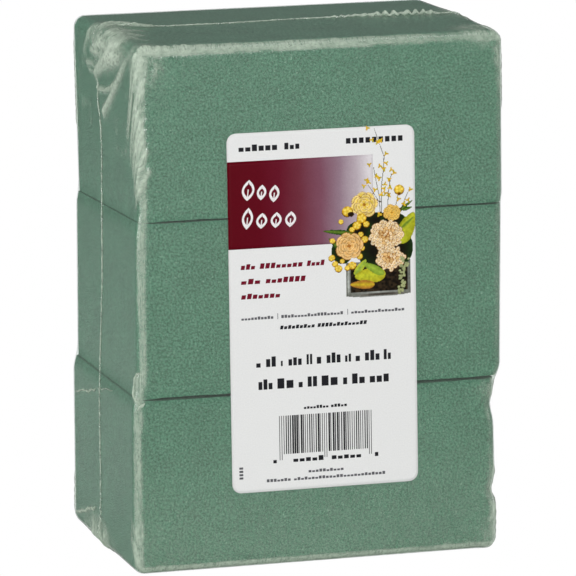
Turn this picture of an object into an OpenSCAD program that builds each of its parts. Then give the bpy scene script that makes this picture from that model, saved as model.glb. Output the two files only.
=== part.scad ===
// Shrink-wrapped pack of three dry floral foam blocks with a paper label.
// Millimetres. +Z is up, the label faces -Y, and the origin is the middle of
// the face that the pack stands on.

/* [Foam blocks] */
// Length of one block, left to right
block_l = 98; // [60:0.5:240]
// Depth of one block, front to back
block_d = 71; // [60:0.5:120]
// Height of one block as it lies in the stack
block_h = 46; // [40:0.5:90]
// Radius of the pack's outer edges, pressed round by the tight film
edge_r = 3; // [1.5:0.1:5]
// Radius of the edges where two blocks meet
joint_r = 0.6; // [0.3:0.1:1.2]
// Sideways shift of the bottom block
bottom_shift = -1.5; // [-1.5:0.05:1.5]
// Sideways shift of the middle block
middle_shift = 0.65; // [-1.5:0.05:1.5]
// Sideways shift of the top block
top_shift = 1.25; // [-1.5:0.05:1.5]

/* [Shrink film] */
// Modelled thickness of the film
film_t = 0.1; // [0.05:0.05:0.3]
// Width of the heat seal that joins the two webs
seal_w = 2; // [1:0.5:4]
// Height of the heat seal above the film
seal_h = 0.4; // [0.2:0.1:0.8]

/* [Label] */
// Width of the label
label_w = 50.2; // [30:0.1:56]
// Height of the label
label_h = 94.1; // [60:0.1:105]
// Radius of the label's corners
label_r = 2.4; // [1:0.1:5]
// Distance of the label's middle to the right of the pack's middle
label_x = 0.7; // [-4:0.1:4]
// Height of the label's bottom edge above the base
label_z = 20; // [10:0.1:25]
// Thickness of the label paper
paper_t = 0.1; // [0.06:0.02:0.2]
// Thickness of the adhesive layer behind the paper
adhesive_t = 0.04; // [0.02:0.02:0.1]

/* [Hidden] */
$fn = 48;

block_count = 3;
shifts = [bottom_shift, middle_shift, top_shift];
stack_h = block_count * block_h;
// The label makes the front thicker than the back, so the blocks sit this far
// behind the middle of the whole pack.
pack_y = (adhesive_t + paper_t) / 2;
front_y = pack_y - block_d / 2 - film_t;
// Longer than the pack in every direction, for cutting shapes
reach = 2 * (block_l + block_d + stack_h);

// The seal's path up the sides, as [depth, height]. It wanders a little about
// the middle, most where the blocks step, and runs on over the top.
seal_path = [
    [2.5, -1],
    [2.5, 42],
    [6, 55],
    [4, 78],
    [4, 105],
    [5, 119],
    [1, stack_h + 10],
];

// Rectangle standing on z = 0 with one radius below and another above.
module round_rect(w, h, r_low, r_high) {
    for (side = [-1, 1]) {
        translate([side * (w / 2 - r_low), r_low])
            circle(r_low);
        translate([side * (w / 2 - r_high), h - r_high])
            circle(r_high);
    }
    translate([-w / 2 + r_low, 0])
        square([w - 2 * r_low, r_low]);
    translate([-w / 2, r_low])
        square([w, h - r_low - r_high]);
    translate([-w / 2 + r_high, h - r_high])
        square([w - 2 * r_high, r_high]);
}

// One block of the stack, counted from 0 at the bottom, grown by g all round.
module block(i, g = 0) {
    l = block_l + 2 * g;
    d = block_d + 2 * g;
    h = block_h + 2 * g;
    r_low = (i == 0 ? edge_r : joint_r) + g;
    r_high = (i == block_count - 1 ? edge_r : joint_r) + g;
    translate([shifts[i], pack_y, film_t + i * block_h - g])
        intersection() {
            linear_extrude(h)
                translate([0, -d / 2])
                    round_rect(l, d, edge_r + g, edge_r + g);
            translate([0, d, 0])
                rotate([90, 0, 0])
                    linear_extrude(2 * d)
                        round_rect(l, h, r_low, r_high);
            translate([-l, 0, 0])
                rotate([90, 0, 90])
                    linear_extrude(2 * l)
                        round_rect(d, h, r_low, r_high);
        }
}

// All the blocks together, grown by g all round.
module stack(g = 0) {
    for (i = [0 : block_count - 1])
        block(i, g);
}

// The whole film bag: it lies on the foam everywhere.
module film_bag() {
    difference() {
        stack(film_t);
        stack();
    }
}

// Everything behind the line of the seal.
module behind_seal() {
    last = len(seal_path) - 1;
    translate([-reach / 2, 0, 0])
        rotate([90, 0, 90])
            linear_extrude(reach)
                polygon([
                    each seal_path,
                    [reach / 2, seal_path[last][1]],
                    [reach / 2, seal_path[0][1]],
                ]);
}

// Band as wide as the seal along its path, above the bottom edge's rounding.
module seal_band() {
    half = seal_w / 2;
    last = len(seal_path) - 1;
    front_side = [for (p = seal_path) [p[0] - half, p[1]]];
    back_side = [for (k = [last : -1 : 0]) [seal_path[k][0] + half, seal_path[k][1]]];
    intersection() {
        translate([-reach / 2, 0, 0])
            rotate([90, 0, 90])
                linear_extrude(reach)
                    polygon(concat(front_side, back_side));
        translate([-reach / 2, -reach / 2, film_t + edge_r])
            cube(reach);
    }
}

// Label outline, t thick, with its back at depth y.
module label_sheet(y, t) {
    translate([label_x, y, label_z])
        rotate([90, 0, 0])
            linear_extrude(t)
                round_rect(label_w, label_h, label_r, label_r);
}

module foam_block(i) {
    color("#5f8b74") block(i);
}

module shrink_film_front() {
    color([0.86, 0.92, 0.89, 0.3])
        difference() {
            film_bag();
            behind_seal();
        }
}

module shrink_film_back() {
    color([0.86, 0.92, 0.89, 0.3])
        intersection() {
            film_bag();
            behind_seal();
        }
}

module film_seal_bead() {
    color([0.93, 0.96, 0.94, 0.7])
        difference() {
            intersection() {
                stack(film_t + seal_h);
                seal_band();
            }
            stack(film_t);
        }
}

module label_adhesive() {
    color("#e8e4d2") label_sheet(front_y, adhesive_t);
}

module label_paper() {
    color("#f2f2ef") label_sheet(front_y - adhesive_t, paper_t);
}

foam_block(0);  // foam_block_bottom
foam_block(1);  // foam_block_middle
foam_block(2);  // foam_block_top
shrink_film_front();
shrink_film_back();
film_seal_bead();
label_adhesive();
label_paper();
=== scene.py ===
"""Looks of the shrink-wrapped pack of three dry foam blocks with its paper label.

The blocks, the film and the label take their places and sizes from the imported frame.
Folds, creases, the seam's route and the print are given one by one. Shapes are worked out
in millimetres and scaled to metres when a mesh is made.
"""

import math

import bpy
import numpy as np
from mathutils import Matrix, Vector


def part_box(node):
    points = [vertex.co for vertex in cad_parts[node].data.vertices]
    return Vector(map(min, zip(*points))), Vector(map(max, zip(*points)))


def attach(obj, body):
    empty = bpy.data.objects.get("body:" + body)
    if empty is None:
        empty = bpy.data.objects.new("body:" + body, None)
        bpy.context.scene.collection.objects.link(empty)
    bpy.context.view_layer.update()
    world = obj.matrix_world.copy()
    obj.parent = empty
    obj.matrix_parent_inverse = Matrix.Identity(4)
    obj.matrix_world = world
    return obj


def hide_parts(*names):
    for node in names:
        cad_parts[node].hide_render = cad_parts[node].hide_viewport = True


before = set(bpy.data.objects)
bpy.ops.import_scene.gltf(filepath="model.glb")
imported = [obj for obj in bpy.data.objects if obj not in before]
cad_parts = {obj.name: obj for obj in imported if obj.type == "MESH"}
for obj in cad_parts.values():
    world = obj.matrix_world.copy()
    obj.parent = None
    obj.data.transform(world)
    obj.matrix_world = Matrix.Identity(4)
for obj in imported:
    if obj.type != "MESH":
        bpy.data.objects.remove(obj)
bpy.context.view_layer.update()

MM = 0.001


# ---------------------------------------------------------------- frame values

def node_box(name):
    """Lowest and highest corner of a CAD node, in millimetres."""
    low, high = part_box(name)
    return np.array(low) / MM, np.array(high) / MM


BLOCK_NAMES = ["foam_block_bottom", "foam_block_middle", "foam_block_top"]
BLOCKS = [node_box(name) for name in BLOCK_NAMES]
BAG_LOW = np.minimum(node_box("shrink_film_front")[0], node_box("shrink_film_back")[0])
BAG_HIGH = np.maximum(node_box("shrink_film_front")[1], node_box("shrink_film_back")[1])
LABEL_LOW, LABEL_HIGH = node_box("label_paper")

# Radius of the blocks' outer edges, as in the CAD
EDGE_R = 3.0
# The film's thickness in the CAD, which is also how high the lowest block stands
FILM_GAP = BLOCKS[0][0][2]
JOINTS = [BLOCKS[0][1][2], BLOCKS[1][1][2]]
TOP_Z = BAG_HIGH[2]
FRONT_Y, BACK_Y = BAG_LOW[1], BAG_HIGH[1]
DEPTH_MID = (FRONT_Y + BACK_Y) / 2


# ------------------------------------------------------------- small functions

def smooth(t):
    t = np.clip(t, 0, 1)
    return t * t * (3 - 2 * t)


def hash3(i, j, k, seed):
    """Repeatable value from 0 to 1 for whole-number cells."""
    n = (i * 374761393 + j * 668265263 + k * 2147483647 + seed * 1274126177) & 0x7FFFFFFF
    n = ((n ^ (n >> 13)) * 1103515245) & 0x7FFFFFFF
    n = ((n ^ (n >> 16)) * 69069) & 0x7FFFFFFF
    return (n & 0xFFFFFF) / 0xFFFFFF


def noise3(points, size, seed=0):
    """Smooth value noise from -1 to 1, with cells of the given size."""
    p = np.asarray(points, float) / size + 1000
    cell = np.floor(p).astype(np.int64)
    f = p - cell
    f = f * f * (3 - 2 * f)
    total = 0
    for corner in range(8):
        step = np.array([corner & 1, corner >> 1 & 1, corner >> 2 & 1])
        weight = np.prod(np.where(step, f, 1 - f), axis=1)
        c = cell + step
        total = total + weight * hash3(c[:, 0], c[:, 1], c[:, 2], seed)
    return 2 * total - 1


def fractal(points, size, octaves=3, seed=0):
    """Several layers of noise, each half the size and half the height."""
    total = 0
    for level in range(octaves):
        total = total + noise3(points, size / 2 ** level, seed + level) / 2 ** level
    return total / 2


def graded(low, high, coarse, zones):
    """Grid lines from low to high. zones are (from, to, step), finer than coarse."""
    where = np.linspace(low, high, 6000)
    step = np.full(where.shape, float(coarse))
    for start, end, fine in zones:
        away = np.maximum(np.maximum(start - where, where - end), 0)
        step = np.minimum(step, fine + 0.25 * away)
    count = np.concatenate([[0], np.cumsum(1 / step[1:] * np.diff(where))])
    lines = int(round(count[-1]))
    return np.interp(np.linspace(0, count[-1], lines + 1), count, where)


def box_grid(xs, ys, zs):
    """Closed quad grid over the surface of a box: points and outward faces."""
    shape = (len(xs), len(ys), len(zs))
    shell = np.zeros(shape, bool)
    shell[[0, -1]] = True
    shell[:, [0, -1]] = True
    shell[:, :, [0, -1]] = True
    index = np.zeros(shape, int)
    index[shell] = np.arange(shell.sum())
    i, j, k = np.nonzero(shell)
    points = np.column_stack([xs[i], ys[j], zs[k]])

    def sheet(layer, flip):
        quads = np.stack([layer[:-1, :-1], layer[1:, :-1], layer[1:, 1:], layer[:-1, 1:]], -1)
        quads = quads.reshape(-1, 4)
        return quads[:, ::-1] if flip else quads

    faces = [
        sheet(index[:, :, -1], False),
        sheet(index[:, :, 0], True),
        sheet(index[:, 0, :], False),
        sheet(index[:, -1, :], True),
        sheet(index[-1], False),
        sheet(index[0], True),
    ]
    return points, np.concatenate(faces)


def round_box(points, low, high, edge, r_low, r_high):
    """Rounds a box grid: edge is the upright edges' radius, r_low and r_high the others'."""
    low, high = np.asarray(low, float), np.asarray(high, float)
    p = points.copy()
    core = np.clip(p[:, :2], low[:2] + edge, high[:2] - edge)
    out = p[:, :2] - core
    most = np.abs(out).max(1)
    inset = edge - most
    z = p[:, 2].copy()
    for limit, r, sign in ((low[2], r_low, -1), (high[2], r_high, 1)):
        down = sign * (limit - z)
        a = r - inset
        b = r - down
        near = (a > 0) & (b > 0)
        length = np.maximum(np.hypot(a, b), 1e-9)
        most_ab = np.maximum(a, b)
        scale = np.where(near, most_ab / length, 1)
        inset = np.where(near, r - a * scale, inset)
        z = np.where(near, limit - sign * (r - b * scale), z)
    span = np.maximum(np.hypot(out[:, 0], out[:, 1]), 1e-9)
    keep = most > 0
    moved = core + out / span[:, None] * (edge - inset)[:, None]
    p[:, :2] = np.where(keep[:, None], moved, p[:, :2])
    p[:, 2] = z
    return p


def vertex_normals(points, faces):
    a, b, c, d = (points[faces[:, k]] for k in range(4))
    flat = np.cross(c - a, d - b)
    normals = np.zeros_like(points)
    for k in range(4):
        np.add.at(normals, faces[:, k], flat)
    return normals / np.maximum(np.linalg.norm(normals, axis=1), 1e-12)[:, None]


def thicken(points, faces, inner):
    """Closed shell from an open patch: its inner points are given, its rim is added."""
    count = len(points)
    edges = np.concatenate([faces[:, [k, (k + 1) % 4]] for k in range(4)])
    key = edges[:, 0] * count + edges[:, 1]
    back = edges[:, 1] * count + edges[:, 0]
    rim = edges[~np.isin(key, back)]
    walls = np.column_stack([rim[:, 1], rim[:, 0], rim[:, 0] + count, rim[:, 1] + count])
    every = np.concatenate([faces, faces[:, ::-1] + count, walls])
    return np.concatenate([points, inner]), every


def used_only(points, faces, *values):
    """Drops the points that no face uses."""
    used = np.unique(faces)
    renumber = np.zeros(len(points), int)
    renumber[used] = np.arange(len(used))
    return points[used], renumber[faces], *[v[used] for v in values]


def make_piece(name, points, faces, material, slot_name, values=None, flat=False):
    """Mesh object in the row frame from millimetre points. values are point attributes."""
    mesh = bpy.data.meshes.new(name)
    mesh.from_pydata((np.asarray(points) * MM).tolist(), [], [list(map(int, f)) for f in faces])
    mesh.update()
    mesh.polygons.foreach_set("use_smooth", [not flat] * len(mesh.polygons))
    kinds = {1: (mesh.attributes, "FLOAT", "value"),
             3: (mesh.attributes, "FLOAT_VECTOR", "vector"),
             4: (mesh.color_attributes, "FLOAT_COLOR", "color")}
    for key, value in (values or {}).items():
        value = np.asarray(value, np.float32)
        layers, kind, field = kinds[value.size // len(value)]
        layers.new(key, kind, "POINT").data.foreach_set(field, value.ravel())
    mesh.materials.append(material)
    obj = bpy.data.objects.new(name, mesh)
    bpy.context.scene.collection.objects.link(obj)
    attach(obj, "root")
    return obj


# ------------------------------------------------------------------- materials

def linear(red, green, blue):
    """Linear colour from screen values of 0 to 255."""
    def one(v):
        v = v / 255
        return v / 12.92 if v <= 0.04045 else ((v + 0.055) / 1.055) ** 2.4
    return one(red), one(green), one(blue)


class Shader:
    """A short way to add and join the nodes of one material."""

    def __init__(self, name):
        self.material = bpy.data.materials.new(name)
        self.material.use_nodes = True
        self.tree = self.material.node_tree
        self.tree.nodes.clear()
        self.out = self.tree.nodes.new("ShaderNodeOutputMaterial")
        self.place = self.add("ShaderNodeTexCoord").outputs["Object"]

    def add(self, kind, inputs=None, **settings):
        node = self.tree.nodes.new(kind)
        for key, value in settings.items():
            setattr(node, key, value)
        for key, value in (inputs or {}).items():
            if isinstance(value, bpy.types.NodeSocket):
                self.tree.links.new(value, node.inputs[key])
            else:
                node.inputs[key].default_value = value
        return node

    def math(self, operation, a, b=0.0, clamp=False):
        node = self.add("ShaderNodeMath", {0: a, 1: b}, operation=operation, use_clamp=clamp)
        return node.outputs[0]

    def scaled(self, value, by, plus=0.0):
        inputs = {0: value, 1: by, 2: plus}
        return self.add("ShaderNodeMath", inputs, operation="MULTIPLY_ADD").outputs[0]

    def noise(self, size_mm, detail=2.0, rough=0.5, place=None):
        inputs = {"Vector": place or self.place, "Scale": 1 / (size_mm * MM),
                  "Detail": detail, "Roughness": rough}
        return self.add("ShaderNodeTexNoise", inputs).outputs["Fac"]

    def cells(self, size_mm, place=None):
        inputs = {"Vector": place or self.place, "Scale": 1 / (size_mm * MM)}
        return self.add("ShaderNodeTexVoronoi", inputs).outputs["Distance"]

    def ramp(self, factor, stops):
        node = self.add("ShaderNodeValToRGB", {"Fac": factor})
        ramp = node.color_ramp
        while len(ramp.elements) < len(stops):
            ramp.elements.new(0.5)
        for element, (at, colour) in zip(ramp.elements, stops):
            element.position = at
            element.color = (*colour, 1) if len(colour) == 3 else colour
        return node.outputs["Color"]

    def grey_ramp(self, factor, stops):
        return self.ramp(factor, [(at, (v, v, v)) for at, v in stops])

    def mix(self, factor, a, b, blend="MIX"):
        node = self.add("ShaderNodeMix", data_type="RGBA", blend_type=blend)
        for socket, value in ((node.inputs[0], factor), (node.inputs[6], a), (node.inputs[7], b)):
            if isinstance(value, bpy.types.NodeSocket):
                self.tree.links.new(value, socket)
            elif isinstance(value, (int, float)):
                socket.default_value = value
            else:
                socket.default_value = (*value, 1)
        return node.outputs[2]

    def stretch(self, x, y, z):
        """Object place scaled differently along each axis, for streaks."""
        inputs = {"Vector": self.place, "Scale": (x, y, z)}
        return self.add("ShaderNodeMapping", inputs).outputs["Vector"]

    def bump(self, height, distance_mm, strength=1.0, normal=None):
        inputs = {"Height": height, "Distance": distance_mm * MM, "Strength": strength}
        if normal is not None:
            inputs["Normal"] = normal
        return self.add("ShaderNodeBump", inputs).outputs["Normal"]

    def attribute(self, name):
        return self.add("ShaderNodeAttribute", attribute_name=name)

    def finish(self, shader):
        self.tree.links.new(shader, self.out.inputs["Surface"])
        return self.material


FOAM_DARK = linear(58, 102, 80)
FOAM_MID = linear(83, 131, 106)
FOAM_LIGHT = linear(111, 159, 134)


def foam_material():
    """Matt green foam: fine cells, painted shade in its open pores and pits, and a few pale broken
    cell walls.
    """
    s = Shader("dry_foam")
    grain = s.noise(0.58, 3, 0.62)
    colour = s.ramp(grain, [(0.33, FOAM_DARK), (0.5, FOAM_MID), (0.68, FOAM_LIGHT)])
    cloud = s.grey_ramp(s.noise(9, 3, 0.6), [(0.35, 0.92), (0.65, 1.06)])
    colour = s.mix(1.0, colour, cloud, "MULTIPLY")
    # painted shade in the open pores
    pores = s.cells(0.5)
    pore_shade = s.grey_ramp(pores, [(0.1, 0.62), (0.42, 1.0)])
    colour = s.mix(0.75, colour, pore_shade, "MULTIPLY")
    specks = s.grey_ramp(s.noise(0.5, 1), [(0.70, 0.0), (0.76, 1.0)])
    colour = s.mix(s.scaled(specks, 0.5), colour, linear(176, 205, 186))
    # painted shade in the pits
    pits = s.grey_ramp(s.noise(1.5, 2), [(0.24, 0.0), (0.31, 1.0)])
    colour = s.mix(s.scaled(pits, -0.45, 0.45), colour, linear(52, 84, 66))
    height = s.scaled(grain, 0.8, pores)
    normal = s.bump(height, 0.22, 0.75)
    shader = s.add("ShaderNodeBsdfPrincipled", {
        "Base Color": colour, "Roughness": 0.95, "Normal": normal,
        "Specular IOR Level": 0.15, "Sheen Weight": 0.12, "Sheen Roughness": 0.6,
    })
    return s.finish(shader.outputs[0])


# Colour of film that is gathered or stretched until it is cloudy, and of the painted highlight over
# the front edges
MILK = (0.68, 0.78, 0.66, 1)


def film_material(name, base_haze, glint):
    """Clear shrink film. A point attribute makes it milky where it is gathered, and over the
    front edges and the lower front it also paints highlight and reflection; the flow attribute
    sets the way of its streaks."""
    s = Shader(name)
    emboss = s.noise(0.8, 2, 0.55)
    streaks = s.noise(1.1, 3, 0.6, s.stretch(1.0, 0.08, 1.0))
    crinkle = s.noise(4.5, 4, 0.6)
    height = s.scaled(crinkle, 0.8, s.scaled(streaks, 0.5, s.scaled(emboss, 0.55)))
    normal = s.bump(height, 0.16, 0.6)
    rough = s.scaled(s.noise(3, 2), 0.16, 0.1)
    facing = s.add("ShaderNodeLayerWeight", {"Blend": 0.5}).outputs["Facing"]
    # the film shines and darkens where it is seen at a glancing angle
    shine = s.scaled(s.math("POWER", facing, 5.0), 0.3, glint)
    through = s.ramp(s.math("POWER", facing, 6.0), [
        (0.5, (0.965, 0.985, 0.975)), (0.92, (0.16, 0.21, 0.18)),
    ])
    clear = s.add("ShaderNodeBsdfTransparent", {"Color": through})
    gloss = s.add("ShaderNodeBsdfGlossy", {
        "Color": (1.0, 1.0, 0.98, 1), "Roughness": rough, "Normal": normal,
    })
    skin = s.add("ShaderNodeMixShader", {0: shine, 1: clear.outputs[0], 2: gloss.outputs[0]})
    milk = s.add("ShaderNodeBsdfDiffuse", {"Color": MILK, "Normal": normal})
    pass_on = s.add("ShaderNodeBsdfTranslucent", {"Color": MILK})
    milky_highlight_shader = s.add("ShaderNodeMixShader", {0: 0.25, 1: milk.outputs[0], 2: pass_on.outputs[0]})
    flow = s.attribute("flow").outputs["Vector"]
    flow = s.add("ShaderNodeVectorMath", {0: flow, 1: (MM, MM, MM)}, operation="MULTIPLY").outputs[0]
    lines = s.math("ABSOLUTE", s.math("SUBTRACT", s.noise(0.9, 3, 0.6, flow), 0.5))
    lines = s.grey_ramp(lines, [(0.0, 1.0), (0.05, 0.85), (0.16, 0.28)])
    patches = s.grey_ramp(s.noise(1.3, 3, 0.6), [(0.34, 0.55), (0.62, 1.1)])
    broken = s.math("MULTIPLY", lines, patches)
    # this attribute holds the gathers' milkiness, the painted highlight over the front edges and the
    # painted reflection over the lower front
    haze_and_highlight = s.attribute("haze_and_highlight").outputs["Fac"]
    haze_and_highlight = s.math("MULTIPLY", haze_and_highlight, s.scaled(broken, 0.95, 0.42))
    haze_and_highlight = s.math("ADD", haze_and_highlight, base_haze, clamp=True)
    both = s.add("ShaderNodeMixShader", {0: haze_and_highlight, 1: skin.outputs[0], 2: milky_highlight_shader.outputs[0]})
    return s.finish(both.outputs[0])


def coated(s, colour, roughness, normal=None):
    """Ends a material as coated paper or ink."""
    inputs = {"Base Color": colour, "Roughness": roughness, "Specular IOR Level": 0.05,
              "Coat Weight": 0.02, "Coat Roughness": 0.2}
    if normal is not None:
        inputs["Normal"] = normal
    return s.finish(s.add("ShaderNodeBsdfPrincipled", inputs).outputs[0])


def paper_material():
    """White coated label paper with a faint fibre texture."""
    s = Shader("label_paper_white")
    fibre = s.noise(0.35, 4, 0.6)
    colour = s.ramp(fibre, [(0.3, linear(228, 228, 227)), (0.7, linear(236, 236, 235))])
    return coated(s, colour, 0.42, s.bump(fibre, 0.012, 0.4))


def ink_material(name, colour):
    """Printed ink: one colour with a faint mottle of the press."""
    s = Shader(name)
    mottle = s.noise(0.5, 3, 0.6)
    low = tuple(v * 0.93 for v in colour)
    high = tuple(min(1, v * 1.07) for v in colour)
    return coated(s, s.ramp(mottle, [(0.3, low), (0.7, high)]), 0.38)


def band_material(x_low, x_high):
    """Burgundy ink that fades to white from left to right."""
    s = Shader("ink_band_fade")
    x = s.add("ShaderNodeSeparateXYZ", {0: s.place}).outputs[0]
    across = s.add("ShaderNodeMapRange", {
        "Value": x, "From Min": x_low * MM, "From Max": x_high * MM,
    }).outputs[0]
    wander = s.scaled(s.noise(6, 3), 0.05, -0.025)
    colour = s.ramp(s.math("ADD", across, wander), [
        (0.0, linear(92, 2, 18)), (0.22, linear(94, 3, 22)), (0.36, linear(100, 16, 36)),
        (0.5, linear(109, 45, 59)), (0.65, linear(124, 76, 93)), (0.78, linear(146, 120, 134)),
        (0.9, linear(184, 170, 178)), (1.0, linear(224, 219, 222)),
    ])
    grain = s.grey_ramp(s.noise(0.4, 3), [(0.3, 0.95), (0.7, 1.05)])
    return coated(s, s.mix(1.0, colour, grain, "MULTIPLY"), 0.36)


def painted_material():
    """The printed picture: its colours are in the mesh, with a fine dot texture over them."""
    s = Shader("ink_picture")
    dots = s.grey_ramp(s.cells(0.3), [(0.1, 0.93), (0.6, 1.05)])
    colour = s.mix(1.0, s.attribute("ink").outputs["Color"], dots, "MULTIPLY")
    return coated(s, colour, 0.36)


def adhesive_material():
    s = Shader("label_glue")
    tint = s.ramp(s.noise(2, 3), [(0.3, linear(214, 210, 190)), (0.7, linear(228, 225, 210))])
    shader = s.add("ShaderNodeBsdfPrincipled", {"Base Color": tint, "Roughness": 0.5})
    return s.finish(shader.outputs[0])


# ------------------------------------------------------- outline of the bag

# How far each block's side faces lean away from the CAD's, at its bottom and its
# top, bottom block first. Negative is to the left.
LEAN_LEFT = [(0, 0.5), (-0.45, 0.2), (0.3, -0.1)]
LEAN_RIGHT = [(-0.1, -0.05), (-0.4, 0.25), (-0.05, -0.05)]
# Dents in the front right upright edge, as height, depth and spread.
DENTS = [(38.6, 1.0, 3.2), (15.9, 1.1, 2.6), (44.1, 0.45, 1.6)]
# How far above and below a joint the film starts to span the step there
SPAN = 3.6
# How deep the film sinks in at a joint on the left and on the right, and how far
# above and below it
NOTCH = {False: 0.06, True: 0.16}
NOTCH_REACH = 1.7
# How far the top block's front has settled, and how far the upper joint runs down
# from front to back
SETTLE = 0.9
DROP = 1.3


def block_side(i, z, right):
    """Side face of one block at height z, in the foam."""
    low, high = BLOCKS[i]
    lean = (LEAN_RIGHT if right else LEAN_LEFT)[i]
    t = np.clip((z - low[2]) / (high[2] - low[2]), 0, 1)
    return (high if right else low)[0] + lean[0] + (lean[1] - lean[0]) * t


def bag_side(z, right):
    """Side face of the film at height z: it spans the steps and sinks in at the joints."""
    sign = 1 if right else -1
    side = block_side(0, z, right)
    for i, joint in enumerate(JOINTS):
        over = smooth((z - joint + SPAN) / (2 * SPAN))
        side = side + (block_side(i + 1, z, right) - side) * over
        side = side - sign * NOTCH[right] * np.exp(-((z - joint) / NOTCH_REACH) ** 2)
    return side + sign * FILM_GAP


def side_at(z, right=False):
    """Side face of the film at one height."""
    return float(bag_side(np.array([float(z)]), right)[0])


def dent(points):
    """Presses in the front right edge's dents, and tilts the top and the upper joint, in
    the foam and the film alike."""
    p = points.copy()
    for z, depth, spread in DENTS:
        corner = np.array([side_at(z, True), FRONT_Y, z])
        away = (p - corner) / np.array([1.3 * spread, 1.6 * spread, spread])
        push = depth * np.exp(-(away ** 2).sum(1))
        p[:, 0] -= push
        p[:, 1] += 0.6 * push
    settle = SETTLE * smooth((p[:, 2] - JOINTS[1]) / (TOP_Z - JOINTS[1]))
    p[:, 2] -= settle * np.clip((DEPTH_MID - p[:, 1]) / 35, 0, 1)
    drop = np.interp(p[:, 2], [JOINTS[0], JOINTS[1], TOP_Z], [0, DROP, 0])
    p[:, 2] -= drop * np.clip((p[:, 1] - FRONT_Y) / (BACK_Y - FRONT_Y), 0, 1)
    return p


def fit_sides(points, half, left, right):
    """Moves the two side faces of a shape that is 2 * half wide to left and right."""
    p = points.copy()
    t = (p[:, 0] + half) / (2 * half)
    p[:, 0] = left + (right - left) * t
    return p


# ------------------------------------------------------------------ foam blocks

# How far each block draws back from the bottom, the two joints and the top
GAPS = [0, 0.26, 0.13, 0]
# Radius of the edges where two blocks meet
JOINT_R = 0.12


def build_block(i, material):
    low, high = (c.copy() for c in BLOCKS[i])
    half = (high[0] - low[0]) / 2
    low[0], high[0] = -half, half
    r_low = EDGE_R if i == 0 else JOINT_R
    r_high = EDGE_R if i == len(BLOCKS) - 1 else JOINT_R
    lines = []
    for axis in range(3):
        near = [(low[axis], low[axis] + 3.2, 0.6), (high[axis] - 3.2, high[axis], 0.6)]
        if axis == 2:
            near += [(low[2], low[2] + 0.8, 0.2), (high[2] - 0.8, high[2], 0.2)]
        lines.append(graded(low[axis], high[axis], 1.1 if axis < 2 else 1.0, near))
    points, faces = box_grid(*lines)
    p = round_box(points, low, high, EDGE_R, r_low, r_high)
    # the joints stand open at the front and close towards the left
    opening = 0.03 + 0.97 * smooth((p[:, 0] + half - 1.5) / 6)
    for end, amount, sign in ((low[2], GAPS[i], 1), (high[2], GAPS[i + 1], -1)):
        wander = 1 + 0.5 * noise3(p * [1, 1, 0], 3, 17)
        p[:, 2] += sign * amount * opening * wander * smooth(1.4 - np.abs(p[:, 2] - end))
    z = p[:, 2]
    left = np.maximum(block_side(i, z, False), bag_side(z, False) + FILM_GAP)
    right = np.minimum(block_side(i, z, True), bag_side(z, True) - FILM_GAP)
    p = dent(fit_sides(p, half, left, right))
    normals = vertex_normals(p, faces)
    rough = 0.5 + 0.5 * fractal(p, 2.2, 3, 11 + i)
    broad = 0.5 + 0.5 * noise3(p, 14, 23 + i)
    pits = np.clip(noise3(p, 1.7, 31 + i) - 0.62, 0, 1) * 1.5
    edge = (np.abs(normals) < 0.92).all(1)
    crumble = edge * np.clip(fractal(p, 1.3, 2, 41 + i), 0, 1)
    depth = 0.10 * rough + 0.10 * broad + 0.30 * pits + 0.28 * crumble
    p = p - normals * depth[:, None]
    name = BLOCK_NAMES[i].replace("foam_block", "dry_foam")
    block = make_piece(name, p, faces, material, "foam")
    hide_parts(BLOCK_NAMES[i])
    return block


# ------------------------------------------------------------ route of the seam

# The seam between the two webs, as (height, y) on the sides and (x, y) across the
# top and the bottom. On the left it is given for a flat face at SEAM_FACE, and it
# moves back by SEAM_SLANT for each millimetre that the real face lies further right,
# so that it looks the same from the front left.
SEAM_FACE = -49.1
SEAM_SLANT = 4.25
SEAM_LEFT = [(0, 9), (20, 8), (40, 7.5), (50, 5.5), (60, 3.5), (70, 1.5), (80, 0.5), (90, 0),
             (106, -1.5), (114, -0.5), (117, 1), (119.5, 2.5), (122, 1), (124, 1), (126, 3),
             (130, 4), (138, 5)]
SEAM_TOP = [(-48, 10), (-43, 7), (-38, 2), (-30, 0), (-15, 0), (5, 2), (20, 1), (30, -0.5),
            (48, -1)]
SEAM_RIGHT = [(0, -2), (20, -1), (45, 1), (70, -0.5), (95, 0.8), (120, 0), (136, 1)]
SEAM_BOTTOM = [(-50, -1), (-20, 0.6), (10, -0.4), (48, -2)]


def curve(picked, at):
    """Smooth curve through listed values."""
    xs, ys = np.array(picked, float).T
    spread = np.linspace(-1.2, 1.2, 5)
    return np.mean([np.interp(at + s, xs, ys) for s in spread], axis=0)


def seam_y(points):
    """Where the seam runs at each place round the bag."""
    x, z = points[:, 0], points[:, 2]
    sides = [
        (np.abs(x - bag_side(z, False)),
         curve(SEAM_LEFT, z) + SEAM_SLANT * (bag_side(z, False) - SEAM_FACE)),
        (np.abs(TOP_Z - z), curve(SEAM_TOP, x)),
        (np.abs(bag_side(z, True) - x), curve(SEAM_RIGHT, z)),
        (np.abs(z), curve(SEAM_BOTTOM, x)),
    ]
    weights = [1 / (away + 0.4) ** 3 for away, _ in sides]
    return sum(w * y for w, (_, y) in zip(weights, sides)) / sum(weights)


# ------------------------------------------------------------- gathers and folds

FILM_R = EDGE_R + FILM_GAP
# Height above which the upright edges are pleated
PLEATS_LOW = 96
# Where the folds of the top left gather meet, as (y, z) on the left face
FAN_TIP = (3.7, 124.4)
# Distance between the ripples along the seam
RIPPLE_STEP = 2.3
# How strong the painted highlight is over the front's left, right, top and bottom edges, with a
# little milkiness of the stretched film
LEFT_MILK_AND_HIGHLIGHT, RIGHT_MILK_AND_HIGHLIGHT, TOP_MILK_AND_HIGHLIGHT, LOW_MILK_AND_HIGHLIGHT = 0.28, 0.07, 0.46, 0.4
RANDOM = np.random.default_rng(7)


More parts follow.
